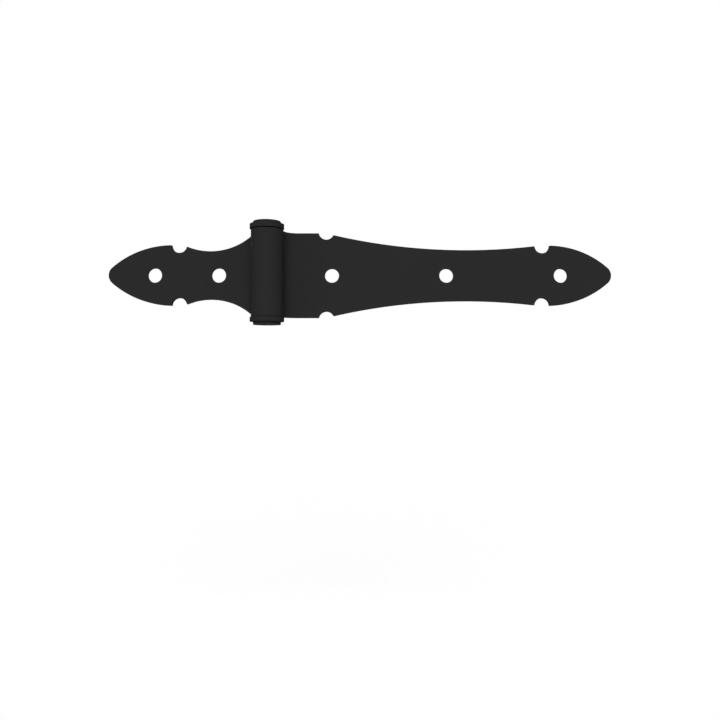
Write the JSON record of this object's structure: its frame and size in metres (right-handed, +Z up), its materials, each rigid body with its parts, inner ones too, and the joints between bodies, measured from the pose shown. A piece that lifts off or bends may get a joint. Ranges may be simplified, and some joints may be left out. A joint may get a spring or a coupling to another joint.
{
  "type": "half strap hinge",
  "caption": "Surface-mounted half strap hinge: a notched, spear-ended strap rolled round a pin turns against a short matching leaf whose ears hold the pin.",
  "frame": {"origin": "on the short leaf's back mounting face, straight behind the pin's axis at the middle of the pin's length", "axes": "+X along the strap, away from the pin; +Y out of the mounting face, away from the viewer of the front; +Z up along the pin"},
  "size_m": [0.2539, 0.0197, 0.051],
  "materials": {
    "leaf_paint": "satin black powder coat over pressed steel sheet",
    "pin_paint": "satin black powder coat over a riveted steel pin"
  },
  "bodies": {
    "short_leaf": {"short_leaf": "leaf_paint", "hinge_pin": "pin_paint"},
    "strap": {"strap_leaf": "leaf_paint"}
  },
  "joints": [
    {"name": "strap_swing", "type": "hinge", "parent": "short_leaf", "child": "strap", "pos_m": [0, -0.01125, 0], "axis": [0, 0, -1], "range_deg": [0, 180]}
  ]
}
